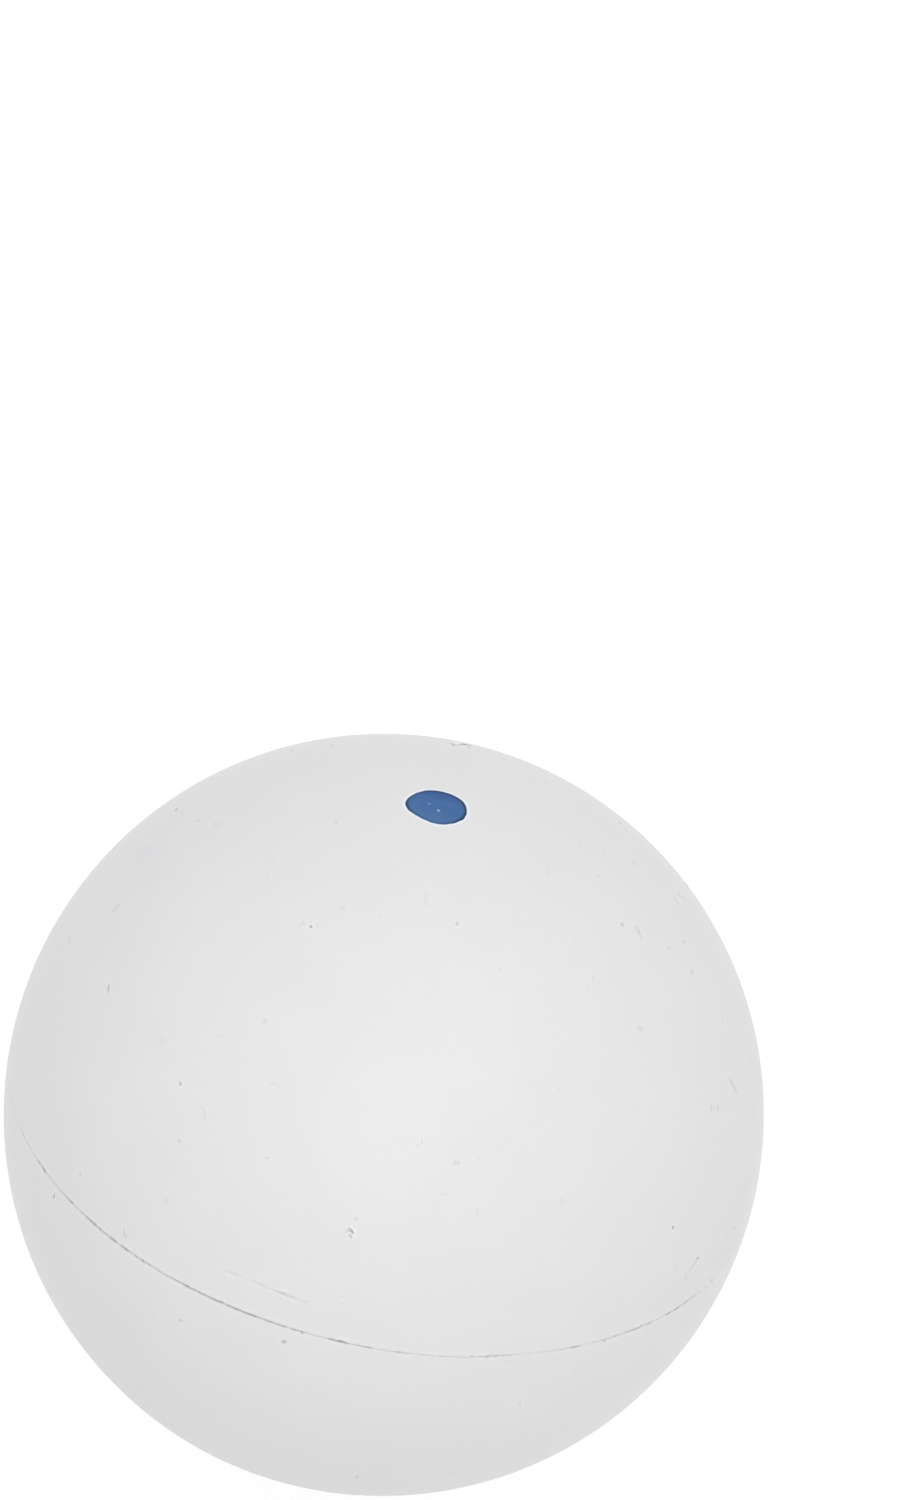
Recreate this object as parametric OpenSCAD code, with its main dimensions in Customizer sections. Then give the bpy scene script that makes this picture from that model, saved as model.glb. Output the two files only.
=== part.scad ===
// Squash ball: two moulded rubber half shells with ground faces, joined at the
// equator by a thin layer of cured rubber cement, and a dot of ink near one pole.
// Millimetres. The origin is the centre of the ball, and +Z points at the pole
// of the shell that carries the dot. The hollow holds air only.

/* [Shells] */
// Outside diameter of the finished ball
ball_d = 40; // [39.5:0.5:45]
// Thickness of the rubber wall
wall_t = 5; // [4:0.25:6]

/* [Seam] */
// Thickness of the cured cement between the two ground faces
cement_t = 0.08; // [0.06:0.02:0.2]
// Leg of the small bevel around the outer edge of each ground face
edge_bevel = 0.05; // [0.02:0.01:0.15]
// How far the bead of cement stands out into the hollow
bead_h = 0.45; // [0.3:0.05:0.9]

/* [Dot] */
// Mean diameter of the printed dot
dot_d = 3; // [2:0.1:4]
// Thickness of the ink film
ink_t = 0.06; // [0.05:0.01:0.1]
// Angle between the pole and the middle of the dot
dot_tilt = 5.1; // [0:0.1:15]
// Heading of the dot about the pole, counter-clockwise from +X
dot_heading = -121.5; // [-180:0.5:180]

/* [Hidden] */
$fn = 160;

outer_r = ball_d / 2;
hollow_r = outer_r - wall_t;
// The cement ends where the bevels of the two edges begin
cement_r = outer_r - edge_bevel;

// How the hand-made edge of the dot departs from a circle: each row is a number
// of lobes, their height as a share of the radius, and their heading in degrees
lobe_shares = [[2, 0.042, 176], [3, 0.023, 62], [4, 0.013, 14], [5, 0.012, 51]];
dot_corners = 72;

function dot_r(a) =
    dot_d / 2 * (1 + sum([for (l = lobe_shares) l[1] * cos(l[0] * (a - l[2]))]));
function sum(v, i = 0) = i < len(v) ? v[i] + sum(v, i + 1) : 0;

// One half of the ball above its ground face, which lies at half the cement's
// thickness above the equator
module half_shell() {
    rotate_extrude()
        difference() {
            circle(r = outer_r);
            circle(r = hollow_r);
            // Side behind the axis
            translate([-2 * outer_r, -outer_r])
                square([2 * outer_r, 2 * outer_r]);
            // Everything below the ground face
            translate([0, -outer_r])
                square([2 * outer_r, outer_r + cement_t / 2]);
            // Bevel on the outer edge
            translate([outer_r, cement_t / 2])
                rotate(45)
                    square(edge_bevel * sqrt(2), center = true);
        }
}

module upper_half_shell() {
    color("whitesmoke")
        half_shell();
}

module lower_half_shell() {
    color("whitesmoke")
        mirror([0, 0, 1])
            half_shell();
}

// Thin flat ring between the ground faces, with the bead that was pressed out
// into the hollow when the halves were closed
module seam_cement() {
    color("dimgray")
        rotate_extrude() {
            translate([hollow_r - bead_h / 2, -cement_t / 2])
                square([cement_r - hollow_r + bead_h / 2, cement_t]);
            intersection() {
                translate([hollow_r, 0])
                    circle(r = bead_h);
                circle(r = hollow_r);
            }
        }
}

// Film of ink that follows the outside of the upper shell
module blue_dot() {
    color("steelblue")
        intersection() {
            difference() {
                sphere(r = outer_r + ink_t);
                sphere(r = outer_r);
            }
            rotate([0, 0, dot_heading])
                rotate([0, dot_tilt, 0])
                    rotate([0, 0, -dot_heading])
                        linear_extrude(2 * outer_r)
                            polygon([for (i = [0 : dot_corners - 1])
                                let (a = 360 * i / dot_corners)
                                dot_r(a) * [cos(a), sin(a)]]);
        }
}

upper_half_shell();
lower_half_shell();
seam_cement();
blue_dot();
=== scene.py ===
from math import radians

import bpy
import numpy as np
from mathutils import Matrix, Vector


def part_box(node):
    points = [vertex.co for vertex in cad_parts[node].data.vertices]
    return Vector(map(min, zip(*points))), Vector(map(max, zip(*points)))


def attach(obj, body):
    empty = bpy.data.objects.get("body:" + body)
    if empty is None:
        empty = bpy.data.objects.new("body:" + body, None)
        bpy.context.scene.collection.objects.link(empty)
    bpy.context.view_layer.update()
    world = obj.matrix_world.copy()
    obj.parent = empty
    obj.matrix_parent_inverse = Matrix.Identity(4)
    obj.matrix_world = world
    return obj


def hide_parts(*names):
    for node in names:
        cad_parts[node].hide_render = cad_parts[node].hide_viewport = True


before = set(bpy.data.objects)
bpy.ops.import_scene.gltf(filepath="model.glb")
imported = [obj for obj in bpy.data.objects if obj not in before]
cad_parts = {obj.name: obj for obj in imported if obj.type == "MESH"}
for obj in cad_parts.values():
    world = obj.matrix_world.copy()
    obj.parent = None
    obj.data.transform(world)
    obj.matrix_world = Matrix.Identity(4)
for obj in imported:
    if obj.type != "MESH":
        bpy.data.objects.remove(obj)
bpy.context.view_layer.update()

# The view: a long lens, nearly a quarter of a metre from the middle of the ball and a
# little over a third of the way up from the level of the seam to the pole. It is rolled a
# little, and the ball lies low on the left of the picture.
mm = 0.001
photo_w, photo_h = 924, 1500
focal_px = 4500
sensor_w = 36.0
camera_away = 238.5 * mm
camera_up_deg = 34.54
camera_roll_deg = 13.27
ball_centre_px = (384.2, 1112.3)


def ray_of_pixel(x, y):
    """Direction through a pixel of the photograph, in the camera's own axes: right, up and back."""
    return Vector(((x - photo_w / 2) / focal_px, (photo_h / 2 - y) / focal_px, -1)).normalized()


def camera_axes():
    """Turns the camera's axes into the ball's: the ray through the ball's centre pixel is laid
    along the camera's line to the ball, and the roll turns the picture about that line."""
    up_angle = radians(camera_up_deg)
    inward = Vector((0, np.cos(up_angle), -np.sin(up_angle)))
    right = inward.cross(Vector((0, 0, 1))).normalized()
    level = Matrix((right, right.cross(inward), -inward)).transposed()
    centring = ray_of_pixel(*ball_centre_px).rotation_difference(Vector((0, 0, -1)))
    return level @ Matrix.Rotation(radians(camera_roll_deg), 3, "Z") @ centring.to_matrix(), inward


camera_turn, camera_line = camera_axes()
camera_place = -camera_away * camera_line
camera_data = bpy.data.cameras.new("camera")
camera_data.lens = focal_px / photo_h * sensor_w
camera_data.sensor_width = sensor_w
camera_data.clip_start = 1 * mm
camera = bpy.data.objects.new("camera", camera_data)
camera.matrix_world = Matrix.Translation(camera_place) @ camera_turn.to_4x4()
bpy.context.scene.collection.objects.link(camera)
bpy.context.scene.camera = camera

# Lower half shell: filled white butyl rubber, five millimetres thick, pressed and cured in
# a heated mould. Its face is ground flat for the cement, and the finished ball is buffed to
# a chalky matt that keeps specks of dirt, small nicks and a few rub marks.
shell_low, shell_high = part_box("lower_half_shell")
ball_r = -shell_low.z
wall_t = 5 * mm
hollow_r = ball_r - wall_t
# Height of the ground faces above and below the middle of the seam
face_z = -shell_high.z
# Points round every ring of the shells and the cement
columns = 512


def waves(points, length, seed, count=32):
    """Uneven height over points in space, about -1 to 1: the sum of plane waves in random
    directions, with lengths from 0.7 to 1.4 times the one given, scaled to a spread of a half."""
    rng = np.random.default_rng(seed)
    way = rng.normal(size=(3, count))
    way /= np.linalg.norm(way, axis=0)
    pitch = length * rng.uniform(0.7, 1.4, count)
    phase = rng.uniform(0, 2 * np.pi, count)
    return np.cos(points @ (2 * np.pi * way / pitch) + phase).sum(-1) * np.sqrt(2 / count) / 2


# How far the seam stands open, read along its line from left to right: the heading from the
# front in degrees, and the share of the widest gap. Where it is near nothing the buffing has
# closed the rubber over the cement.
seam_shares = [
    (-76, 0.15), (-73, 0.2), (-71, 0.65), (-69, 0.45), (-68, 0.15), (-63, 0.25), (-61, 0.7), (-59, 1.0),
    (-57, 0.65), (-55, 1.3), (-53, 0.9), (-50, 0.5), (-48, 0.5), (-46, 0.85), (-45, 1.2), (-44, 0.5),
    (-42, 0.6), (-41, 0.6), (-40, 1.4), (-37, 1.3), (-35, 0.95), (-33, 1.0), (-29, 1.0), (-27, 0.4),
    (-25, 0.9), (-23, 0.85), (-20, 0.9), (-19, 0.6), (-17, 0.9), (-15, 1.2), (-13, 0.6), (-11, 0.8),
    (-9, 0.7), (-7, 0.6), (-5, 0.75), (-3, 0.3), (-1, 0.5), (1, 1.0), (3, 0.4), (6, 0.5),
    (8, 0.5), (10, 0.8), (13, 0.35), (15, 0.3), (18, 0.3), (20, 0.45), (23, 0.85), (24, 0.5), (26, 0.4),
    (28, 0.2), (32, 0.25), (34, 0.35), (37, 0.85), (38, 0.3), (40, 0.3), (42, 0.45), (44, 0.65), (46, 0.7),
    (48, 0.95), (50, 0.5), (52, 0.55), (54, 0.8), (57, 1.0), (59, 1.1), (61, 0.55), (62, 0.4), (63, 0.12),
    (66, 0.08), (70, 0.05), (76, 0.1),
]
# How the line wanders up and down, as heading in degrees and height in millimetres
seam_heights = [
    (-180, 0.0), (-140, 0.03), (-100, -0.02), (-60, 0.05), (-48, 0.04), (-41, 0.04), (-37, 0.01),
    (-30, -0.02), (-15, -0.03), (-8, -0.05), (0, -0.06), (9, -0.1), (19, -0.1), (23, -0.03), (30, 0.0),
    (36, -0.04), (44, 0.0), (52, -0.03), (60, 0.02), (100, -0.03), (140, 0.02), (180, 0.0),
]
widest_gap = 0.02 * mm
least_gap = 0.003 * mm
# Where the table ends, the share swings about its mean in long waves
unseen_mean, unseen_swing, unseen_wave = 0.6, 0.5, 5 * mm
# Short waves break up the share all the way round, and it has an upper limit
broken_swing, broken_wave, share_limit = 0.35, 0.8 * mm, 1.6
# Small waves of the line itself: height and length
wander_h, wander_wave = 0.006 * mm, 1.6 * mm
# Each lip reaches in to this depth, where it meets the flat ground face
lip_depth = 0.2 * mm
# Its edge is rounded off, and the rubber beside the edge swells a little
lip_round = 0.02 * mm
round_w = 0.6 * lip_round
lip_swell, swell_w = 0.008 * mm, 0.12 * mm
# Away from the lip, the wander of the seam dies out over this distance
wander_fade = 0.5 * mm
# Grime, with painted shade of the open seam, reaches this far from the lip, and so much further where the
# seam is wide open
grime_and_shade_least_mm, grime_and_shade_more_mm = 0.035, 0.03
# Where the pale line beyond the lip lies, partly scuffed rubber and partly a painted highlight of the lip's
# edge, and its width
pale_band_at, pale_band_w = 0.19 * mm, 0.08 * mm


def around(turn, radius):
    """Points on a level circle, for headings from the front towards the right."""
    return radius * np.stack([np.sin(turn), -np.cos(turn), np.zeros_like(turn)], axis=-1)


def heading_deg(turn):
    """Heading in degrees, from -180 to 180."""
    return np.degrees((turn + np.pi) % (2 * np.pi) - np.pi)


def seam_share(turn):
    """Share of the widest gap by heading: the table above, with the rest of the way round
    filled by long waves, and all of it broken up by waves of half to one millimetre."""
    seen, shares = np.array(seam_shares).T
    heading = heading_deg(turn)
    unseen = unseen_mean + unseen_swing * waves(around(turn, ball_r), unseen_wave, 11)
    share = np.where(np.abs(heading) > seen[-1], unseen, np.interp(heading, seen, shares))
    broken = 1 + broken_swing * waves(around(turn, ball_r), broken_wave, 12)
    return np.clip(share * broken, 0, share_limit)


def seam_gap(turn):
    """Half the height of the open seam by heading, from its share of the widest gap."""
    return np.clip(seam_share(turn) * widest_gap, least_gap, None) / 2


def seam_middle(turn):
    """Height of the middle of the seam by heading: the table above, with small waves on it."""
    headings, heights = np.array(seam_heights).T
    small = wander_h * waves(around(turn, ball_r), wander_wave, 14)
    return np.interp(heading_deg(turn), headings, heights) * mm + small


def seam_face(turn, depth, side):
    """Height of the ground face at a depth under the surface: at the lip it is the edge of the
    open seam, and it eases into the flat face of the CAD solid over the depth of the lip. Here
    and below, side is 1 for the upper half and -1 for the lower one."""
    blend = np.clip(depth / lip_depth, 0, 1)
    blend = blend * blend * (3 - 2 * blend)
    return (seam_middle(turn) + side * seam_gap(turn)) * (1 - blend) + side * face_z * blend


def spot_on_ball(x, y):
    """Where the ray through a pixel of the photograph meets the ball, or passes nearest to it."""
    ray = camera_turn @ ray_of_pixel(x, y)
    along = -camera_place.dot(ray)
    inside = ball_r ** 2 - camera_place.length_squared + along ** 2
    return camera_place + ray * (along - np.sqrt(max(inside, 0)))


def mark_between(x0, y0, x1, y1, width, dark):
    """A mark of the ball from its two ends in the photograph, its width in millimetres, and how
    dark it is: 0 is clean rubber, 1 is nearly black, and less than 0 is paler than clean rubber."""
    start, end = spot_on_ball(x0, y0), spot_on_ball(x1, y1)
    along = end - start if x0 != x1 or y0 != y1 else camera_turn @ Vector((1, 0, 0))
    return mark_at((start + end) / 2, along, (end - start).length + width * mm, width * mm, dark)


def mark_at(middle, along, length, width, dark):
    """A mark from its middle, its direction, its length and width, and how dark it is."""
    out = middle.normalized()
    across = out.cross(along).normalized()
    return {"middle": out * ball_r, "axes": (across.cross(out), across, out),
            "half": (length / 2, width / 2, width / 2), "dark": dark}


# Marks that lie on the seam and belong to both halves: the two ends as pixels of the
# photograph, then the width in millimetres and the darkness.
seam_marks_px = [
    (302, 1332, 302, 1333.5, 0.16, 0.35), (340, 1341, 344, 1341.7, 0.2, 0.3),
    (604, 1340, 605, 1341, 0.18, 0.3), (641, 1325, 642, 1325.5, 0.18, 0.25),
    (471, 1356, 473, 1356, 0.15, 0.2), (43.9, 1170.5, 46.3, 1172.5, 0.3, 0.16),
    (81.2, 1212, 83.2, 1213, 0.22, 0.12), (698.3, 1291, 699.9, 1292.4, 0.22, 0.12),
    (704.4, 1286, 706.2, 1287.6, 0.24, 0.1), (709.8, 1279.9, 712.4, 1281.8, 0.3, 0.16),
    (712.5, 1276.5, 714.5, 1278, 0.3, 0.06),
]
# Specks, nicks and scratches of the lower half
lower_marks_px = [
    (283, 1342, 284.5, 1342, 0.28, 0.38), (53.7, 1198, 54.7, 1194.7, 0.23, 0.42),
    (180, 1320.6, 181.8, 1320.3, 0.21, 0.24), (177, 1324, 178, 1325, 0.16, 0.05),
    (153.5, 1318, 154.5, 1315, 0.2, 0.05), (520, 1406, 519.5, 1402, 0.16, 0.11),
    (523, 1403, 523, 1405, 0.14, -0.04), (573.7, 1374, 574.3, 1371, 0.18, 0.11),
    (356.8, 1479, 357.1, 1475, 0.23, 0.16), (611, 1363.5, 613, 1364, 0.2, 0.05),
    (505.5, 1362.3, 508, 1362.8, 0.28, 0.05), (452, 1470, 452.3, 1477, 0.28, 0.045),
    (218, 1379, 225, 1379.5, 0.2, 0.02),
]
# Marks drawn by chance: how many on each half, the range of their widths, and how long and
# how dark they are, with the chance of each. They stay off the seam and out of the picture.
hidden_marks = 36
hidden_widths_mm = (0.14, 0.3)
hidden_stretches = (1.2, 1.8, 4.0)
hidden_darks = (0.07, 0.16, 0.4)
hidden_chances = (0.5, 0.35, 0.15)
off_seam, off_picture = 0.3 * mm, 0.1 * mm
# Marks in one layer lie at least this far apart
apart = 0.7 * mm


def marks_on(side, seen_px, seed):
    """Marks of one half: those seen in the photograph, and more drawn by chance over the side
    that the photograph doesn't show."""
    marks = [mark_between(*ends) for ends in seen_px]
    rng = np.random.default_rng(seed)
    drawn = 0
    while drawn < hidden_marks:
        middle = Vector(rng.normal(size=3)).normalized() * ball_r
        along = Vector(rng.normal(size=3))
        width = rng.uniform(*hidden_widths_mm) * mm
        stretch = rng.choice(hidden_stretches, p=hidden_chances)
        dark = rng.choice(hidden_darks, p=hidden_chances)
        if side * middle.z > off_seam and middle.dot(camera_line) > off_picture:
            marks.append(mark_at(middle, along, width * stretch, width, dark))
            drawn += 1
    return marks


def mark_layers(marks):
    """Deals marks out in layers, so that the marks of one layer lie well apart from each other."""
    layers = []
    for mark in marks:
        mark["reach"] = 2 * max(mark["half"]) + apart
        for layer in layers:
            if all((mark["middle"] - m["middle"]).length > mark["reach"] + m["reach"] for m in layer):
                layer.append(mark)
                break
        else:
            layers.append([mark])
    return layers


def points_of(piece):
    """All the points of a piece, one a row."""
    points = np.empty(3 * len(piece.data.vertices), np.float32)
    piece.data.vertices.foreach_get("co", points)
    return points.reshape(-1, 3).astype(float)


def lay_marks(piece, name, marks):
    """Writes marks to a piece, one attribute a layer. At each point it holds the point's place as
    seen from the layer's nearest mark, along and across in half sizes, and that mark's darkness,
    which is 0 for a point out of the mark's reach."""
    points = points_of(piece)
    layers = mark_layers(marks)
    for number, layer in enumerate(layers):
        middle, axes, half, dark, reach = (np.array([mark[key] for mark in layer])
                                           for key in ("middle", "axes", "half", "dark", "reach"))
        away = np.linalg.norm(points[:, None] - middle, axis=-1) - reach
        nearest = away.argmin(1)
        local = np.einsum("nij,nj->ni", axes[nearest], points - middle[nearest]) / half[nearest]
        local[:, 2] = np.where(away.min(1) < 0, dark[nearest], 0)
        layer_data = piece.data.attributes.new(f"{name}_{number}", "FLOAT_VECTOR", "POINT").data
        layer_data.foreach_set("vector", local.ravel())
    return len(layers)


# Rows down the outside by their distance from the lip: close together on the lip itself,
# even over the belt beside it, and wider apart over the cap
lip_rows_mm = [0, 0.006, 0.013, 0.022, 0.035, 0.055, 0.085, 0.13, 0.2, 0.3]
belt_from_mm, cap_from_mm, belt_step_mm = 0.4, 2.4, 0.08
cap_rows = 118
# Rows of the ground face by their depth, and of the hollow's wall by their climb from it
face_rows_mm = [0.006, 0.014, 0.03, 0.06, 0.1, 0.15, 0.2, 1, 4.9]
wall_rows_mm = [0, 0.1, *range(1, 23)]
# The long and the short waves of the buffing: height, length and seed
buffing = [(0.015 * mm, 18 * mm, 21), (0.0035 * mm, 2.5 * mm, 22)]


def at_latitude(up, flat, radius):
    """Points on a sphere, from their latitudes and their level directions."""
    return radius * (np.cos(up)[..., None] * flat + np.sin(up)[..., None] * np.array([0, 0, 1]))


def half_shell(name, side, groove=None):
    """Skin of a half shell on a grid of headings by rows. The rows run down the outside from the
    pole to the lip, in along the ground face, and up the wall of the hollow to its pole, and the
    outside stands off the sphere by the waves of the buffing and the swell of the lip, less the
    rounding of the lip and the groove where there is one."""
    turn = np.arange(columns) * 2 * np.pi / columns
    flat = around(turn, 1.0)
    lip = np.array(lip_rows_mm) * mm
    belt = np.arange(belt_from_mm, cap_from_mm, belt_step_mm) * mm
    cap = np.linspace(cap_from_mm * mm, np.pi / 2 * ball_r, cap_rows)[:-1]
    climb = np.concatenate([lip, belt, cap])[::-1, None]
    lift = (seam_middle(turn) + side * seam_gap(turn)) * np.exp(-climb / wander_fade)
    up = (side * climb + lift) / ball_r
    sphere = at_latitude(up, flat, ball_r)
    bumps = sum(height * waves(sphere, length, seed) for height, length, seed in buffing)
    swell = lip_swell * np.exp(-(climb / swell_w) ** 2)
    cut = lip_round * np.exp(-climb / round_w) + (groove(turn, up) if groove else 0)
    stand = ball_r + bumps + swell - cut
    outside = sphere * (stand / ball_r)[..., None]

    depth = np.array(face_rows_mm)[:, None] * mm
    reach = np.maximum(stand[-1] - depth, hollow_r)
    face = reach[..., None] * flat + seam_face(turn, depth, side)[..., None] * np.array([0, 0, 1])
    climb_in = np.array(wall_rows_mm)[:, None] * mm + 0 * turn
    wall = at_latitude(side * (face_z + climb_in) / hollow_r, flat, hollow_r)

    grid = np.concatenate([outside, face, wall]).reshape(-1, 3)
    points = np.concatenate([grid, [[0, 0, side * stand[0].mean()], [0, 0, side * hollow_r]]])
    piece = grid_mesh(name, points, len(grid) // columns, columns, poles=True, flip=side < 0)
    share = seam_share(turn)
    # Darkening along the lip, deeper and wider where the seam stands open: grime and painted shade of the
    # open gap. Beyond it a pale band, scuffed rubber and a painted highlight of the lip's edge
    grime_and_shade_reach = (grime_and_shade_least_mm + grime_and_shade_more_mm * share) * mm
    add_values(piece, "seam_grime_and_shade", share * np.exp(-(climb / grime_and_shade_reach) ** 2))
    add_values(piece, "seam_scuff_and_highlight", share * np.exp(-((climb - pale_band_at) / pale_band_w) ** 2))
    return piece


def add_values(piece, name, grid):
    """Writes one value a point to a piece, for the first points of its grid, and 0 for the rest."""
    values = np.zeros(len(piece.data.vertices))
    values[:grid.size] = grid.ravel()
    piece.data.attributes.new(name, "FLOAT", "POINT").data.foreach_set("value", values)


def grid_mesh(name, points, rows, cols, poles=False, wrap=False, flip=False):
    """Mesh of a grid whose columns close round the piece. Its first and last rows close to two
    poles, the last two points, or to each other where it wraps. Flip turns the faces over."""
    row, col = np.meshgrid(np.arange(rows if wrap else rows - 1), np.arange(cols), indexing="ij")
    below, right = (row + 1) % rows, (col + 1) % cols
    quads = np.stack([row * cols + col, below * cols + col, below * cols + right, row * cols + right], -1)
    blocks = [quads.reshape(-1, 4)]
    if poles:
        ring = np.arange(cols)
        step = (ring + 1) % cols
        last = (rows - 1) * cols
        blocks.append(np.stack([np.full(cols, rows * cols), ring, step], -1))
        blocks.append(np.stack([np.full(cols, rows * cols + 1), last + step, last + ring], -1))
    order = -1 if flip else 1
    faces = sum([block[:, ::order].tolist() for block in blocks], [])
    mesh = bpy.data.meshes.new(name)
    mesh.from_pydata(points.tolist(), [], faces)
    mesh.polygons.foreach_set("use_smooth", np.ones(len(faces), bool))
    mesh.update()
    piece = bpy.data.objects.new(name, mesh)
    bpy.context.scene.collection.objects.link(piece)
    return piece


def linear(code):
    """Linear colour of an sRGB hex code."""
    srgb = np.array([int(code[i:i + 2], 16) for i in (1, 3, 5)]) / 255
    low, high = srgb / 12.92, ((srgb + 0.055) / 1.055) ** 2.4
    return (*np.where(srgb <= 0.04045, low, high), 1.0)


def add(tree, kind, inputs, out=0, **settings):
    """Adds a node, sets its settings, sets or links its inputs, and gives back one of its outputs."""
    node = tree.nodes.new("ShaderNode" + kind)
    for key, value in settings.items():
        setattr(node, key, value)
    for key, value in inputs.items():
        if isinstance(value, bpy.types.NodeSocket):
            tree.links.new(value, node.inputs[key])
        else:
            node.inputs[key].default_value = value
    return node.outputs[out] if len(node.outputs) else node


def new_material(name):
    """An empty node material and its tree."""
    material = bpy.data.materials.new(name)
    material.use_nodes = True
    material.node_tree.nodes.clear()
    return material, material.node_tree


# How pale the ring of lifted rubber around a mark is, as a share of the mark's darkness
ring_share = 0.12
# How much of the light the darkest mark takes away, and how much the grain does
darkest = 0.86
grain_share = 0.015
# How far noise moves the edges of the stains and of the marks, in widths of each
stain_drift = 0.9
mark_shake = 0.7
# How deep the darkest mark is pressed in, in heights of the grain
mark_sink = 1.5
# How much paler the rubber is where the solvent has wiped it
wiped_pale = 0.2


def mark_mask(tree, name, layers, shake):
    """Sum of the marks' darkness: each is full inside its ellipse, falls off at an edge that the
    shake makes ragged, and is a little less than nothing in a ring of lifted rubber around it."""
    total = 0.0
    # The gradient is 1 in the middle of a mark, 0.5 at its edge and 0 at twice its size
    for number in range(layers):
        mark = add(tree, "Attribute", {}, out="Vector", attribute_name=f"{name}_{number}")
        dark = add(tree, "SeparateXYZ", {0: mark}, out="Z")
        local = add(tree, "VectorMath", {0: mark, 1: (0.5, 0.5, 0), 2: shake}, operation="MULTIPLY_ADD")
        near = add(tree, "TexGradient", {"Vector": local}, out="Fac", gradient_type="SPHERICAL")
        spot = add(tree, "MapRange", {"Value": near, "From Min": 0.4, "From Max": 0.72, "To Max": dark},
                   interpolation_type="SMOOTHSTEP")
        lifted = add(tree, "MapRange", {"Value": near, "From Max": 0.25, "To Max": dark},
                     interpolation_type="SMOOTHSTEP")
        spot = add(tree, "Math", {0: lifted, 1: -ring_share, 2: spot}, operation="MULTIPLY_ADD")
        total = add(tree, "Math", {0: total, 1: spot}, operation="ADD")
    return total


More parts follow.
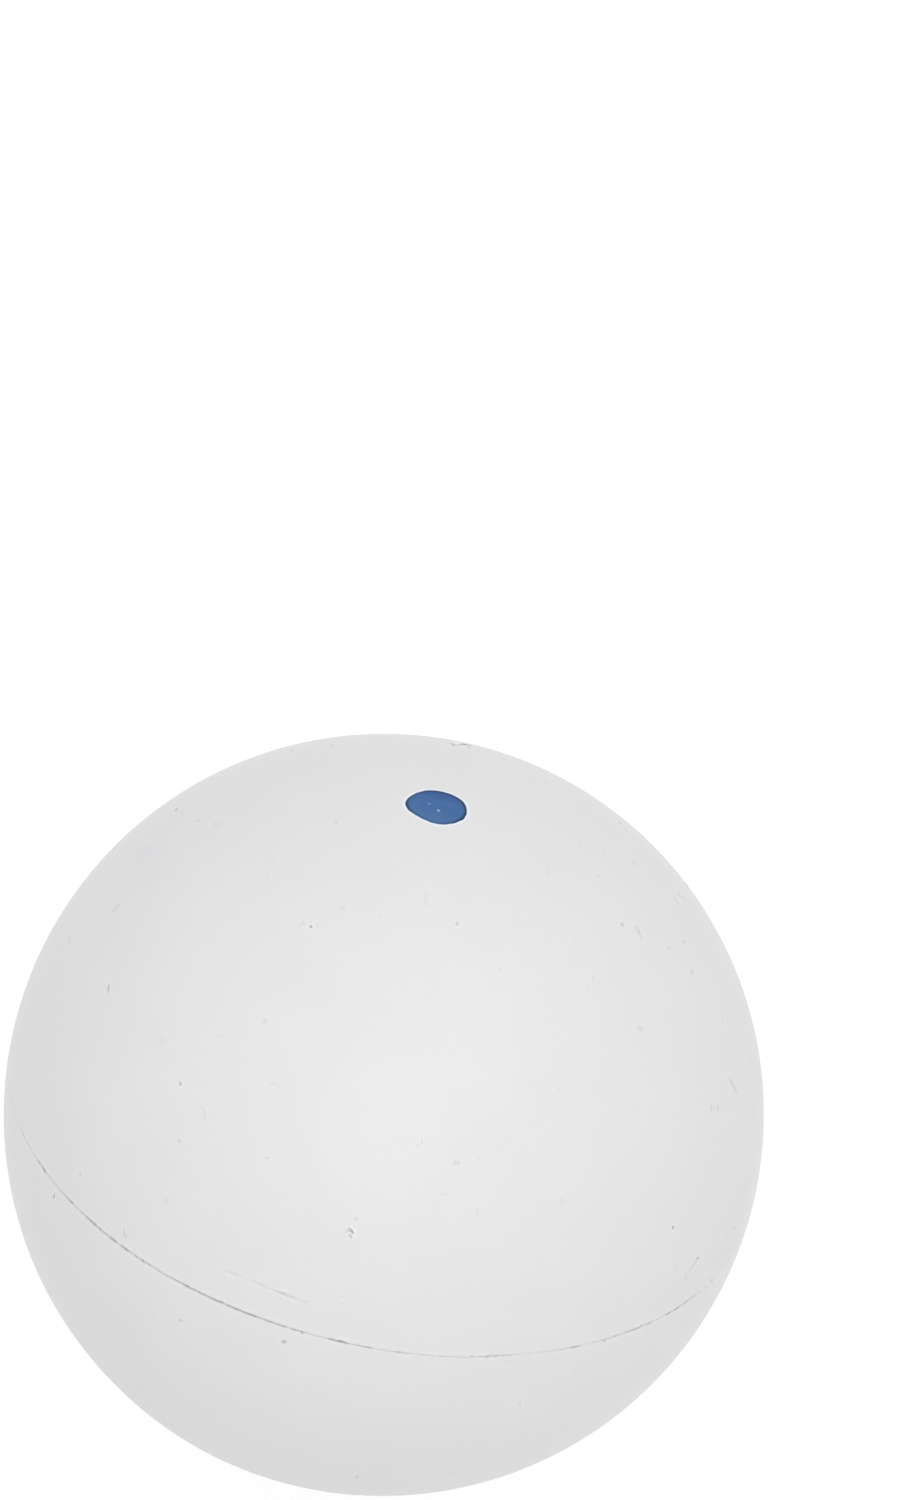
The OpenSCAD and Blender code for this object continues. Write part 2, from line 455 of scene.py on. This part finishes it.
def buffed_rubber(name, marks, rubs, wiped=False):
    """White butyl rubber buffed matt: chalky and even, with a soft mottle, faint stains, a fine
    grain, grey marks, among them painted shade and highlight along the mould crease and a painted
    contact shadow, lips along the seam darkened by grime and painted shade, with a pale line beside
    them that is scuffed rubber and painted highlight, and a pale, faintly blue ring where the dot's
    solvent has wiped it."""
    material, tree = new_material(name)
    place = add(tree, "TexCoord", {}, out="Object")
    # Cloudy mottle of the filler, about 4 mm across
    cloud = add(tree, "TexNoise", {"Vector": place, "Scale": 1 / (4 * mm), "Detail": 3.0})
    white = add(tree, "Mix", {0: cloud, 6: linear("#E9E9E9"), 7: linear("#EEEEEE")}, out=2, data_type="RGBA")
    # Soft blue stains where ink has rubbed off on the rubber
    drift = add(tree, "TexNoise", {"Vector": place, "Scale": 1 / (1.5 * mm), "Detail": 2.0}, out="Color")
    drift = add(tree, "VectorMath", {0: drift, 1: [stain_drift] * 3, 2: [-stain_drift / 2] * 3},
                operation="MULTIPLY_ADD")
    rubbed = mark_mask(tree, "rubs", rubs, drift)
    white = add(tree, "Mix", {0: rubbed, 6: white, 7: linear("#DADDF1")}, out=2, data_type="RGBA")
    if wiped:
        past = add(tree, "Attribute", {}, out="Fac", attribute_name="past_dot")
        ring = add(tree, "MapRange", {"Value": past, "From Min": 0.22, "From Max": 0.1},
                   interpolation_type="SMOOTHSTEP")
        white = add(tree, "Mix", {0: ring, 6: white, 7: linear("#E1E6F0")}, out=2, data_type="RGBA")
    # Grain of the buffing. The real grit leaves 0.05 mm; it is drawn at 0.16 mm so that it shows
    grain = add(tree, "TexNoise", {"Vector": place, "Scale": 1 / (0.16 * mm), "Detail": 2.0})
    grained = add(tree, "MapRange", {"Value": grain, "From Min": 0.3, "From Max": 0.7,
                                     "To Min": 1 - grain_share})
    # Ragged edges for the marks, in steps of a tenth of a millimetre
    shake = add(tree, "TexNoise", {"Vector": place, "Scale": 1 / (0.1 * mm), "Detail": 1.0}, out="Color")
    shake = add(tree, "VectorMath", {0: shake, 1: [mark_shake] * 3, 2: [-mark_shake / 2] * 3},
                operation="MULTIPLY_ADD")
    dirt_shade_and_highlight = mark_mask(tree, "marks", marks, shake)
    # Grime worked into the lips of the seam, in dashes a third of a millimetre long, together with
    # painted shade of the open seam, and a pale edge beyond it, partly scuffed rubber and partly a
    # painted highlight of the lip
    dash = add(tree, "TexNoise", {"Vector": place, "Scale": 1 / (0.33 * mm), "Detail": 2.0})
    dash = add(tree, "MapRange", {"Value": dash, "From Min": 0.4, "From Max": 0.6})
    dashed_grime_and_shade = add(tree, "MapRange", {"Value": dash, "To Min": 0.1, "To Max": 0.6})
    grime_and_shade = add(tree, "Attribute", {}, out="Fac", attribute_name="seam_grime_and_shade")
    dirt_shade_and_highlight = add(tree, "Math", {0: grime_and_shade, 1: dashed_grime_and_shade, 2: dirt_shade_and_highlight}, operation="MULTIPLY_ADD")
    pale = add(tree, "MapRange", {"Value": dash, "To Min": -0.08, "To Max": 0.0})
    scuff_and_highlight = add(tree, "Attribute", {}, out="Fac", attribute_name="seam_scuff_and_highlight")
    dirt_shade_and_highlight = add(tree, "Math", {0: scuff_and_highlight, 1: pale, 2: dirt_shade_and_highlight}, operation="MULTIPLY_ADD")
    if wiped:
        dirt_shade_and_highlight = add(tree, "Math", {0: ring, 1: -wiped_pale, 2: dirt_shade_and_highlight}, operation="MULTIPLY_ADD")
    clean = add(tree, "Math", {0: dirt_shade_and_highlight, 1: -darkest, 2: grained}, operation="MULTIPLY_ADD")
    colour = add(tree, "Mix", {0: 1.0, 6: white, 7: clean}, out=2, data_type="RGBA", blend_type="MULTIPLY")
    rough = add(tree, "MapRange", {"Value": cloud, "To Min": 0.5, "To Max": 0.7})
    # A mark is pressed in a little deeper than the grain
    height = add(tree, "Math", {0: dirt_shade_and_highlight, 1: -mark_sink, 2: grain}, operation="MULTIPLY_ADD")
    bump = add(tree, "Bump", {"Height": height, "Strength": 0.35, "Distance": 0.01 * mm})
    # The thin coat is the bloom that rubber sweats out: it shines only where the eye grazes it
    rubber = add(tree, "BsdfPrincipled", {
        "Base Color": colour, "Roughness": rough, "Normal": bump, "IOR": 1.5,
        "Coat Weight": 0.3, "Coat Roughness": 0.2, "Sheen Weight": 0.15, "Sheen Roughness": 0.5,
    })
    add(tree, "OutputMaterial", {"Surface": rubber})
    return material


def finish_piece(piece, material, node):
    """Gives a piece its material, ties it to the body, and hides the CAD part that it stands for."""
    piece.data.materials.append(material)
    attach(piece, "root")
    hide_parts(node)


lower_shell = half_shell("lower_shell", -1)
lower_marks = lay_marks(lower_shell, "marks", marks_on(-1, lower_marks_px + seam_marks_px, 31))
lower_rubber = buffed_rubber("buffed_white_rubber_lower", lower_marks, 0)
finish_piece(lower_shell, lower_rubber, "lower_half_shell")

# Seam cement: dark rubber solution brushed on both ground faces and cured when the ball is
# closed. A thin sheet of it fills the joint, its edge lies just under the surface, and what
# was pressed inwards has set as a lumpy bead round the hollow.
bead_h = 0.45 * mm
# How uneven the bead is, as a share of its height, and how long its lumps are
lump_share, lump_wave = 0.3, 3 * mm
# How deep the outer edge lies under the surface, how far that swings, and in what waves
sink_mm, sink_swing_mm, sink_wave = 0.022, 0.012, 1.1 * mm
# How hollow the meniscus is, as a share of the gap
dip_share = 0.3
# The cement stays this hair's breadth clear of the ground faces
hair = 0.0005 * mm
# Rows of the sheet by their depth, and how many rows go round the bead
sheet_rows_mm = [4.99, 3, 1, 0.3, 0.2, 0.12, 0.06]
bead_rows = 11


def cement_ring(name):
    """Ring of cement on a grid of headings by rows: out along the upper face to the rim, round a
    hollow meniscus, back along the lower face, and round the bead in the hollow."""
    turn = np.arange(columns) * 2 * np.pi / columns
    sink = (sink_mm + sink_swing_mm * waves(around(turn, ball_r), sink_wave, 41)) * mm
    depth = np.array(sheet_rows_mm)[:, None] * mm + 0 * turn
    depth = np.concatenate([depth, sink[None]])
    upper = seam_face(turn, depth, 1) - hair
    lower = seam_face(turn, depth, -1) + hair
    dip = dip_share * (upper[-1] - lower[-1])
    reach = ball_r - depth
    lumps = bead_h * (1 + lump_share * waves(around(turn, ball_r), lump_wave, 42))
    arc = np.radians(np.linspace(-90, 90, bead_rows))[:, None]
    bead_r = hollow_r - lumps * np.cos(arc)
    bead_z = bead_h * np.sin(arc) + 0 * turn
    radius = np.concatenate([reach, [reach[-1] - dip], reach[::-1], bead_r])
    height = np.concatenate([upper, [(upper[-1] + lower[-1]) / 2], lower[::-1], bead_z])
    points = radius[..., None] * around(turn, 1.0) + height[..., None] * np.array([0, 0, 1])
    return grid_mesh(name, points.reshape(-1, 3), len(radius), columns, wrap=True)


def cured_cement(name):
    """Cured rubber cement: dark grey and dull, paler where white buffing dust has stuck to it."""
    material, tree = new_material(name)
    place = add(tree, "TexCoord", {}, out="Object")
    dust = add(tree, "TexNoise", {"Vector": place, "Scale": 1 / (0.5 * mm), "Detail": 3.0})
    dusty = add(tree, "MapRange", {"Value": dust, "From Min": 0.5, "From Max": 0.75})
    colour = add(tree, "Mix", {0: dusty, 6: linear("#4A4744"), 7: linear("#8C8780")}, out=2,
                 data_type="RGBA")
    bump = add(tree, "Bump", {"Height": dust, "Strength": 0.5, "Distance": 0.02 * mm})
    cement = add(tree, "BsdfPrincipled", {"Base Color": colour, "Roughness": 0.7, "Normal": bump})
    add(tree, "OutputMaterial", {"Surface": cement})
    return material


cement = cement_ring("cement_ring")
finish_piece(cement, cured_cement("cured_rubber_cement"), "seam_cement")

# Upper half shell: the same moulding as the lower one, turned over. It carries the dot, and
# most of the marks that show.
upper_marks_and_shadow_px = [
    # Near the top of the outline. The first seven are a painted contact shadow where a second ball
    # touched this one, drawn as a dark nick with a pale streak in it
    (450.6, 742.9, 453.6, 745, 0.3, 0.42), (453.4, 745.4, 458, 745.2, 0.34, 0.45),
    (458, 744.5, 461, 745.5, 0.28, 0.4), (461, 745.1, 464.5, 743.9, 0.32, 0.5),
    (464, 744.2, 468.4, 744.9, 0.45, 0.95), (467.8, 746.2, 469.4, 748.6, 0.24, 0.28),
    (456, 742.9, 464, 743, 0.4, -0.13), (331, 744, 332, 748, 0.26, 0.1),
    (290, 750, 293, 752, 0.25, 0.1), (545, 779.5, 545, 783, 0.2, 0.08),
    (318, 806, 323, 808, 0.35, 0.04), (336, 819.5, 336, 823, 0.17, 0.12),
    (333, 820, 333, 821, 0.12, -0.03),
    # Upper left
    (176, 809.5, 176.6, 810, 0.27, 0.5), (173, 806, 175, 807, 0.15, 0.1),
    (181, 812.5, 183, 813.5, 0.15, 0.13), (197, 821, 199, 820.5, 0.32, 0.17),
    (216, 823, 219.5, 826, 0.55, 0.055), (113, 851, 116, 848, 0.3, 0.5),
    (113, 911, 118, 905.5, 0.5, 0.1), (69.5, 942, 69.5, 939, 0.32, 0.12),
    (147, 884, 147.5, 886, 0.22, 0.05), (117, 866, 119, 868, 0.3, 0.03),
    (108.5, 985, 108.5, 990.5, 0.2, 0.42), (108, 992, 107.3, 995, 0.18, 0.18),
    (160, 1040, 163, 1042, 0.5, 0.035), (264.6, 1020, 265, 1021.5, 0.26, 0.13),
    (257, 1020.5, 258, 1020.5, 0.14, -0.03), (271, 1020.5, 272, 1020.5, 0.14, -0.03),
    (219, 1036, 220, 1037, 0.2, 0.06), (222, 1035, 223, 1035, 0.18, 0.06),
    (235, 1048, 237, 1048, 0.3, 0.03), (272, 859, 272, 861, 0.3, 0.04),
    (267, 874, 267, 877, 0.3, 0.035),
    # Below the dot
    (311, 926, 311, 927, 0.18, 0.6), (303, 922, 304, 924, 0.16, 0.12),
    (311, 922, 311, 922, 0.14, 0.12), (316, 924, 318, 926, 0.15, 0.08),
    (299, 925, 301, 925.5, 0.14, 0.08), (306, 927, 308, 928, 0.13, -0.05),
    (457, 923, 457.3, 924.5, 0.2, 0.3), (342, 906, 344, 908, 0.34, 0.06),
    (379, 914.5, 380, 916.5, 0.2, 0.06), (382, 916, 382.5, 917.5, 0.14, 0.05),
    (426, 891, 426, 905.5, 0.28, 0.065), (500, 969.5, 500.5, 970.5, 0.18, 0.08),
    # Upper right
    (548, 869, 548.5, 875, 0.3, 0.045), (580, 842, 580.5, 848, 0.2, 0.04),
    (604, 851, 604.5, 857, 0.24, 0.04), (620, 822, 620.5, 824, 0.2, 0.32),
    (634, 861.5, 634, 865, 0.26, 0.11), (597, 874.5, 597.5, 876, 0.22, 0.1),
    (678.5, 893, 679.5, 896, 0.36, 0.2), (675, 899, 676.5, 900.5, 0.34, 0.14),
    (684, 897, 684.5, 900, 0.32, 0.12), (678, 903.5, 680, 904.5, 0.32, 0.14),
    (679.5, 899, 680.5, 900, 0.34, -0.08), (674, 895, 675, 896, 0.2, 0.06),
    (685.7, 884.3, 687, 886, 0.5, 0.5), (622, 923.7, 622.5, 925.2, 0.24, 0.26),
    (636.5, 927, 638, 931, 0.44, 0.13), (639, 932, 641.5, 937, 0.24, 0.13),
    (641, 937, 642, 941, 0.2, 0.08),
    (683, 942, 684.5, 941.5, 0.26, 0.14), (683, 934.5, 684, 936, 0.15, 0.06),
    (668.5, 948, 670, 948, 0.26, 0.11), (691, 972, 693, 972, 0.27, 0.19),
    (593, 975, 593, 981.5, 0.14, 0.12), (589, 985, 589.5, 990, 0.16, 0.045),
    (573, 941, 574, 941.5, 0.2, 0.06), (565.5, 939.5, 566.5, 940, 0.18, 0.06),
    (639.7, 1028.7, 641.3, 1028.3, 0.3, 0.14), (557, 1034, 558, 1034, 0.25, 0.03),
    (722.5, 1018.5, 723, 1021, 0.34, 0.07),
    # Left of the middle
    (179.7, 1083, 181, 1085, 0.2, 0.4), (204, 1111, 204.5, 1118, 0.2, 0.1),
    (201.5, 1107, 203, 1110, 0.18, 0.05), (269.5, 1083, 275, 1084, 0.28, 0.055),
    (276, 1085.5, 281, 1087.5, 0.28, 0.045), (178.6, 1140.5, 179.6, 1141.5, 0.25, 0.16),
    (266, 1158, 268.5, 1158, 0.16, 0.13), (80.2, 1175, 80.5, 1173, 0.22, 0.16),
    (166.2, 1202, 166.6, 1200, 0.28, 0.07), (123.7, 1229, 126, 1239, 0.18, 0.2),
    (306, 1258, 307, 1258.4, 0.16, 0.07), (356, 1218.5, 357, 1220, 0.25, 0.12),
    # A chip like a star, with pale flecks round it
    (349.5, 1228.7, 351.7, 1231, 0.2, 0.34), (352, 1231.3, 352.8, 1232.8, 0.2, 0.4),
    (345, 1231.8, 349.5, 1231.2, 0.19, 0.16), (350.2, 1235.5, 351, 1236.7, 0.2, 0.3),
    (344.5, 1236, 347.5, 1236, 0.12, 0.08), (347, 1229, 349, 1230, 0.15, 0.15),
    (351, 1226, 352, 1227, 0.13, -0.09), (355, 1229, 356, 1231, 0.15, -0.07),
    (346, 1234, 347, 1234, 0.11, -0.08), (353, 1236, 354, 1236, 0.13, -0.08),
    (346, 1238, 347, 1238, 0.11, -0.07),
    # Middle
    (421.8, 1140, 422.2, 1143.5, 0.17, 0.14), (417.5, 1146, 419.5, 1146, 0.16, 0.11),
    (455.5, 1162.8, 457.3, 1163.3, 0.3, 0.14), (477.3, 1158, 478.5, 1158, 0.2, 0.05),
    (464.5, 1162, 465.5, 1162, 0.16, 0.05), (442, 1194, 445.5, 1194.5, 0.26, 0.06),
    (477.2, 1207, 477.2, 1216, 0.2, 0.07), (561.5, 1199, 563, 1204, 0.36, 0.05),
    (558, 1239, 558.3, 1240.5, 0.2, 0.06), (558, 1090, 558.6, 1090.6, 0.2, 0.06),
    (341.5, 1297.3, 345, 1297, 0.18, 0.04), (342, 1300.4, 344, 1300.2, 0.2, -0.06),
    (410.5, 1263, 410.5, 1268, 0.18, 0.04),
    # Right
    (730.5, 1080, 736, 1090, 0.36, 0.17), (735.5, 1089, 739.5, 1095, 0.2, 0.1),
    (712, 1105.5, 712, 1110, 0.22, 0.17), (718.3, 1106.5, 718.3, 1111, 0.24, 0.15),
    (713.5, 1108, 716.5, 1108, 0.14, 0.08), (750, 1058, 750.4, 1062, 0.24, 0.16),
    (672.3, 1226.6, 673.4, 1228.6, 0.18, 0.52), (668, 1221, 670, 1224, 0.15, 0.05),
    (696.9, 1257.9, 698.3, 1258.9, 0.18, 0.36), (698.7, 1256.8, 700.5, 1255.2, 0.24, 0.07),
    (692.5, 1266.5, 696.4, 1260.6, 0.34, 0.15), (689, 1270.8, 692.5, 1266.5, 0.32, 0.1),
    (685.3, 1274.5, 685.7, 1279, 0.34, 0.1), (686.5, 1272.8, 688.8, 1271.4, 0.24, 0.05),
    (674.5, 1267.5, 676.5, 1267.1, 0.28, 0.07), (728.4, 1258, 730.6, 1259.6, 0.26, 0.11),
    (734.2, 1228, 736.2, 1229.3, 0.24, 0.11), (694.5, 1288, 696.5, 1289.5, 0.2, 0.04),
    (616, 1298.5, 618, 1300.5, 0.3, 0.035), (522, 1275, 522.3, 1280, 0.2, 0.03),
]
# The mould left a fine crease a little above the seam. Its ends are given as headings and its
# height as a latitude, in degrees.
crease_from_deg, crease_to_deg, crease_up_deg = -18, -2, 5.1
crease_depth, crease_w = 0.02 * mm, 0.09 * mm
# The ridge beside it: its height as a share of the depth, and its place in widths of the crease
ridge_h_share, ridge_off = 0.5, 1.6


def crease(turn, up):
    """Depth of the mould crease: a narrow groove along one latitude that fades at both ends,
    with a low ridge just under it."""
    middle, reach = (crease_from_deg + crease_to_deg) / 2, (crease_to_deg - crease_from_deg) / 2
    fade = np.clip(1 - ((heading_deg(turn) - middle) / reach) ** 2, 0, 1)
    off = (up - radians(crease_up_deg)) * ball_r / crease_w
    return crease_depth * fade * (np.exp(-off ** 2) - ridge_h_share * np.exp(-(off + ridge_off) ** 2))


# A dark line in the mould crease, partly dirt and partly painted shade, and pale marks beside it that are a
# painted highlight of the ridge under it, from left to right
crease_shade_and_highlight_px = [
    (228, 1271.5, 239, 1275.2, 0.2, 0.11), (225, 1274, 234, 1278, 0.24, -0.055),
    (241, 1277, 256, 1282.5, 0.2, 0.04), (254, 1281.5, 271, 1289.5, 0.22, 0.1),
    (273, 1290, 284, 1294, 0.2, 0.17), (277, 1288, 289, 1291.5, 0.2, -0.05),
    (284, 1298, 297, 1303, 0.22, -0.055), (280, 1292.5, 298, 1299.8, 0.2, 0.19),
    (298.5, 1300, 303, 1301.4, 0.2, 0.09), (303, 1301.4, 309, 1302, 0.26, 0.1),
]
# Faint blue stains, the same way: ends, width, strength
upper_rubs_px = [
    (133, 857, 143, 855, 1.5, 0.1), (150, 840, 151, 874, 2.0, 0.13), (714, 1284, 741, 1207, 4.5, 0.15),
    (753, 1118, 758, 1080, 1.8, 0.12),
]

# The dot's size, its place off the pole, and how its edge departs from a circle: a number of
# lobes, their height as a share of the radius, and their heading in degrees
dot_mean_r = 1.49 * mm
dot_tilt_deg = 5.1
dot_heading_deg = -121.5
dot_lobe_shares = [(2, 0.042, 176), (3, 0.023, 62), (4, 0.013, 14), (5, 0.012, 51)]
# Stands for any place that is nowhere near the dot
far_off_mm = 9


def dot_frame():
    """Turns the pole to the middle of the dot, along the shortest way."""
    heading = Matrix.Rotation(radians(dot_heading_deg), 3, "Z")
    return np.array(heading @ Matrix.Rotation(radians(dot_tilt_deg), 3, "Y") @ heading.transposed())


def dot_edge(a):
    """Radius of the dot by heading round its middle: a circle with a few low lobes."""
    lobes = sum(share * np.cos(n * (a - radians(deg))) for n, share, deg in dot_lobe_shares)
    return dot_mean_r * (1 + lobes)


def measure_past_dot(piece):
    """Writes to each point of a piece how far it lies past the edge of the dot, in millimetres,
    and a large number to the points of the inside and to those far below the dot."""
    x, y, z = (points_of(piece) @ dot_frame()).T
    past = (np.hypot(x, y) - dot_edge(np.arctan2(y, x))) / mm
    add_values(piece, "past_dot", np.where(z > hollow_r, past, far_off_mm))


upper_shell = half_shell("upper_shell", 1, crease)
upper_seen_px = upper_marks_and_shadow_px + crease_shade_and_highlight_px + seam_marks_px
upper_marks = lay_marks(upper_shell, "marks", marks_on(1, upper_seen_px, 32))
upper_rubs = lay_marks(upper_shell, "rubs", [mark_between(*ends) for ends in upper_rubs_px])
measure_past_dot(upper_shell)
upper_rubber = buffed_rubber("buffed_white_rubber_upper", upper_marks, upper_rubs, wiped=True)
finish_piece(upper_shell, upper_rubber, "upper_half_shell")

# Blue dot: rubber ink put on by a soft pad a little off the pole. The film is a few
# hundredths of a millimetre thick, stands a little higher at its edge, and has two pinholes.
ink_t = 0.045 * mm
# The film's closed underside lies this far inside the rubber, so that no gap shows
ink_under = 0.02 * mm
# The pad left more ink on the side at this heading
thick_side_deg = 80
# The raised edge: its height as a share of the film, and, as shares of the dot's radius, where
# it stands, how wide it is, and how wide the rim is over which the film falls to nothing
edge_h_share, edge_at, edge_w, rim_w = 0.25, 0.9, 0.04, 0.1
# The rag of the outline as a share of the radius, the unevenness of the film as a share of its
# thickness, and the waves of both
rag_share, rag_wave = 0.012, 0.5 * mm
uneven_share, uneven_wave = 0.08, 0.7 * mm
# How much further in the ink has pooled on its thick side, as a share of the radius
pool_share = 0.07
# Each pinhole: its pixel, its width in millimetres, and how white it shows
pinholes_px = [(429.3, 804, 0.2, 0.32), (438.5, 811, 0.2, 0.8)]
# How deep they are, as a share of the film
pinhole_depth = 0.8
# Rows of the film as shares of the radius: even ones, and then the ones of its rim
dot_columns, even_rows, even_to = 256, 40, 0.86
rim_rows = [0.9, 0.93, 0.955, 0.975, 0.99, 1.0]


def ink_dot(name):
    """Film of ink on a grid of headings by rows, from the middle out over the ball and back
    underneath. Its outline is a circle with a few lobes and a slight rag, and it rises to a ridge
    near the edge, falls to nothing at the edge, and dips at the pinholes."""
    a = np.arange(dot_columns) * 2 * np.pi / dot_columns
    edge = dot_edge(a) * (1 + rag_share * waves(around(a, dot_mean_r), rag_wave, 51))
    even = np.linspace(0, even_to, even_rows + 1)[1:]
    share = np.concatenate([even, rim_rows])[:, None]
    spread = share * edge
    level = np.stack([spread * np.cos(a), spread * np.sin(a)], -1)
    ball_z = np.sqrt(ball_r ** 2 - spread ** 2)
    film = np.concatenate([level, ball_z[..., None]], -1) @ dot_frame().T
    fall = 1 - np.clip((share - edge_at) / rim_w, 0, 1) ** 2
    rise = ink_t * fall * (1 + edge_h_share * np.exp(-((share - edge_at) / edge_w) ** 2))
    rise = rise * (1 + uneven_share * waves(film, uneven_wave, 52))
    for x, y, width, _ in pinholes_px:
        away = np.linalg.norm(film - np.array(spot_on_ball(x, y)), axis=-1)
        rise = rise * (1 - pinhole_depth * np.exp(-(away / (0.5 * width * mm)) ** 2))
    top = film * (1 + rise / ball_r)[..., None]
    under = (film * (1 - ink_under / ball_r))[::-1]
    pole = dot_frame() @ np.array([0, 0, 1])
    points = np.concatenate([top.reshape(-1, 3), under.reshape(-1, 3),
                             [pole * (ball_r + ink_t), pole * (ball_r - ink_under)]])
    piece = grid_mesh(name, points, 2 * len(share), dot_columns, poles=True)
    share = np.concatenate([share, share[::-1]])
    thick = np.cos(a - radians(thick_side_deg))
    add_values(piece, "edge_share", share + pool_share * np.clip(thick, 0, 1))
    add_values(piece, "thick_side", share * thick)
    return piece


def pad_ink(name):
    """Blue rubber ink: an even satin blue, streaked a little, deeper on its thick side, paler on its
    thin side, and dark where it has pooled along the edge, with the white of the rubber coming
    through two pinholes."""
    material, tree = new_material(name)
    place = add(tree, "TexCoord", {}, out="Object")
    # Streaks that the pad left, about a millimetre long
    streak = add(tree, "TexNoise", {"Vector": place, "Scale": 1 / (0.9 * mm), "Detail": 3.0})
    blue = add(tree, "Mix", {0: streak, 6: linear("#35629A"), 7: linear("#4270AA")}, out=2, data_type="RGBA")
    # Deeper towards the thick side, where the attribute nears 1, and paler towards -1
    side = add(tree, "Attribute", {}, out="Fac", attribute_name="thick_side")
    thick = add(tree, "MapRange", {"Value": side, "From Min": 0.3, "From Max": 0.8, "To Max": 0.8})
    blue = add(tree, "Mix", {0: thick, 6: blue, 7: linear("#2D5395")}, out=2, data_type="RGBA")
    thin = add(tree, "MapRange", {"Value": side, "From Min": -0.1, "From Max": -0.8, "To Max": 0.8})
    blue = add(tree, "Mix", {0: thin, 6: blue, 7: linear("#4C74A8")}, out=2, data_type="RGBA")
    # Pooled ink along the edge, least on the thin side
    edge = add(tree, "Attribute", {}, out="Fac", attribute_name="edge_share")
    depth = add(tree, "MapRange", {"Value": side, "From Min": -0.95, "From Max": -0.3, "To Min": 0.3})
    pooled = add(tree, "MapRange", {"Value": edge, "From Min": 0.87, "From Max": 0.96, "To Max": depth},
                 interpolation_type="SMOOTHSTEP")
    blue = add(tree, "Mix", {0: pooled, 6: blue, 7: linear("#1F3A58")}, out=2, data_type="RGBA")
    # The rubber under the pinholes
    for x, y, width, strength in pinholes_px:
        away = add(tree, "VectorMath", {0: place, 1: spot_on_ball(x, y)}, out="Value", operation="DISTANCE")
        hole = add(tree, "MapRange", {
            "Value": away, "From Min": 0.65 * width * mm, "From Max": 0.2 * width * mm, "To Max": strength,
        }, interpolation_type="SMOOTHSTEP")
        blue = add(tree, "Mix", {0: hole, 6: blue, 7: linear("#A4C6F0")}, out=2, data_type="RGBA")
    # The grain of the rubber, which the thin film follows, about as coarse as it is drawn there
    grain = add(tree, "TexNoise", {"Vector": place, "Scale": 1 / (0.15 * mm), "Detail": 2.0})
    bump = add(tree, "Bump", {"Height": grain, "Strength": 0.3, "Distance": 0.008 * mm})
    ink = add(tree, "BsdfPrincipled", {
        "Base Color": blue, "Roughness": 0.6, "Specular IOR Level": 0.3, "Normal": bump,
    })
    add(tree, "OutputMaterial", {"Surface": ink})
    return material


dot = ink_dot("ink_dot")
finish_piece(dot, pad_ink("pad_printed_ink"), "blue_dot")

# The studio: the ball stands on a white sweep in even light from all sides, with a large
# soft lamp behind the camera, and a weaker one above the camera and to the right.
floor_half = 2.0
# The skin waves a little, so the floor lies a hair below the true ball
floor_drop = 0.03 * mm
# How brightly the white room lights things; the camera sees it as plain white
room_light = 0.746
# The camera sees the sweep glow a little over white, mixed with so much of the paper itself
# that the ball's shadow stays on it
glow_strength = 1.1
shadow_share = 0.16


def seen_directly(tree):
    """1 for rays from the camera, a gloss or a glass, and 0 for the light that falls on things."""
    seen = 0.0
    for ray in ("Is Camera Ray", "Is Glossy Ray", "Is Transmission Ray"):
        hit = add(tree, "LightPath", {}, out=ray)
        seen = add(tree, "Math", {0: seen, 1: hit}, operation="MAXIMUM")
    return seen


floor_mesh = bpy.data.meshes.new("floor")
corners = [(-1, -1), (1, -1), (1, 1), (-1, 1)]
floor_z = -ball_r - floor_drop
floor_mesh.from_pydata([(x * floor_half, y * floor_half, floor_z) for x, y in corners], [], [(0, 1, 2, 3)])
floor = bpy.data.objects.new("floor", floor_mesh)
bpy.context.scene.collection.objects.link(floor)
# Matt white paper, which shows as plain white with a faint shadow on it
sweep, tree = new_material("white_sweep")
paper = add(tree, "BsdfDiffuse", {"Color": linear("#E9E9E9")})
glow = add(tree, "Emission", {"Color": (1, 1, 1, 1), "Strength": glow_strength})
shown = add(tree, "MixShader", {0: 1 - shadow_share, 1: paper, 2: glow})
surface = add(tree, "MixShader", {0: seen_directly(tree), 1: paper, 2: shown})
add(tree, "OutputMaterial", {"Surface": surface})
floor_mesh.materials.append(sweep)

world = bpy.data.worlds.new("studio")
world.use_nodes = True
world.node_tree.nodes.clear()
tree = world.node_tree
strength = add(tree, "MapRange", {"Value": seen_directly(tree), "To Min": room_light, "To Max": 1.0})
sky = add(tree, "Background", {"Color": (1, 1, 1, 1), "Strength": strength})
add(tree, "OutputWorld", {"Surface": sky})
bpy.context.scene.world = world

# Each lamp: its name, its energy in watts, and its direction to the right, up and back
lamps = [("front_lamp", 0.84, (0, 0, 1)), ("side_lamp", 0.43, (0.4, 0.47, 0.79))]
lamp_w = 0.5
lamp_away = 0.7
for name, energy, line in lamps:
    lamp_data = bpy.data.lights.new(name, "AREA")
    lamp_data.shape = "DISK"
    lamp_data.size = lamp_w
    lamp_data.energy = energy
    lamp = bpy.data.objects.new(name, lamp_data)
    lamp_line = (camera_turn @ Vector(line)).normalized()
    lamp_turn = lamp_line.to_track_quat("Z", "Y").to_matrix().to_4x4()
    lamp.matrix_world = Matrix.Translation(lamp_away * lamp_line) @ lamp_turn
    bpy.context.scene.collection.objects.link(lamp)

bpy.context.scene.view_settings.view_transform = "Standard"
